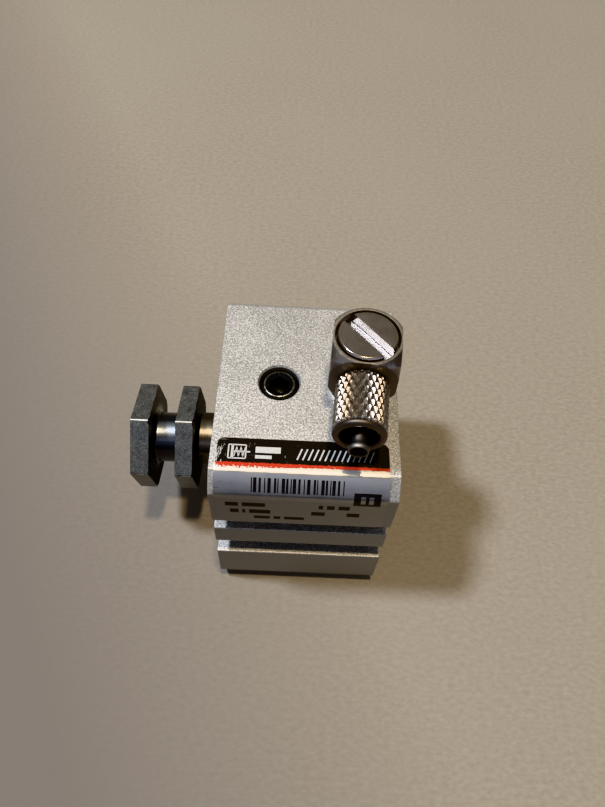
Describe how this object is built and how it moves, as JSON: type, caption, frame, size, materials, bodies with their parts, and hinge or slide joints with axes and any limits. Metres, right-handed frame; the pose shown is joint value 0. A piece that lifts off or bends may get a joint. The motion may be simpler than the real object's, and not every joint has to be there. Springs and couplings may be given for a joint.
{
  "type": "compact air cylinder",
  "caption": "Compact square air cylinder, spring return, lying on its side, with a hexagonal T-slot coupling on its rod and a swivelling barbed elbow with a knurled nut.",
  "frame": {"origin": "on the rod axis, at the middle of the head-end face", "axes": "+X out of the head end (the rod points along -X), +Z out of the air ports, -Y out of the flank with the nameplate"},
  "size_m": [0.0338, 0.0292, 0.039],
  "materials": {
    "anodised_aluminium": "bead-blasted and clear anodised, satin",
    "machined_aluminium": "turned, hard anodised",
    "nitrile_rubber": "matte",
    "phosphated_steel": "dark phosphate",
    "spring_wire": "drawn wire",
    "stainless_steel": "polished",
    "blackened_steel": "black oxide, worn bright at the edges",
    "printed_foil": "silver foil with a black band, satin",
    "nickel_plate": "nickel-plated brass, bright"
  },
  "bodies": {
    "cylinder": {"cylinder_body": "anodised_aluminium", "collar": "machined_aluminium", "tube_gasket": "nitrile_rubber", "rod_seal": "nitrile_rubber", "retaining_ring": "phosphated_steel", "return_spring": "spring_wire", "orifice_plug": "blackened_steel", "nameplate": "printed_foil", "lower_washer": "stainless_steel", "lower_washer_seal": "nitrile_rubber", "upper_washer": "stainless_steel", "upper_washer_seal": "nitrile_rubber", "hollow_screw": "nickel_plate"},
    "piston_slide": {"piston_seal": "nitrile_rubber"},
    "rod": {"piston": "machined_aluminium", "piston_rod": "stainless_steel", "rod_coupling": "blackened_steel"},
    "elbow": {"elbow_body": "nickel_plate", "hose_barb": "nickel_plate"},
    "nut": {"knurled_nut": "nickel_plate"}
  },
  "joints": [
    {"name": "rod_slide", "type": "slide", "parent": "cylinder", "child": "piston_slide", "axis": [-1, 0, 0], "range_m": [0, 0.005], "stiffness_N_per_m": 1150, "springref_m": -0.007, "deforming": ["return_spring"]},
    {"name": "rod_spin", "type": "hinge", "parent": "piston_slide", "child": "rod", "pos_m": [0, 0, 0], "axis": [-1, 0, 0], "continuous": true},
    {"name": "elbow_swivel", "type": "hinge", "parent": "cylinder", "child": "elbow", "pos_m": [-0.0047, 0, 0.0145], "axis": [0, 0, 1], "continuous": true},
    {"name": "nut_turn", "type": "hinge", "parent": "elbow", "child": "nut", "pos_m": [-0.0047, 0, 0.0205], "axis": [-0.0698, -0.9976, 0], "continuous": true}
  ]
}
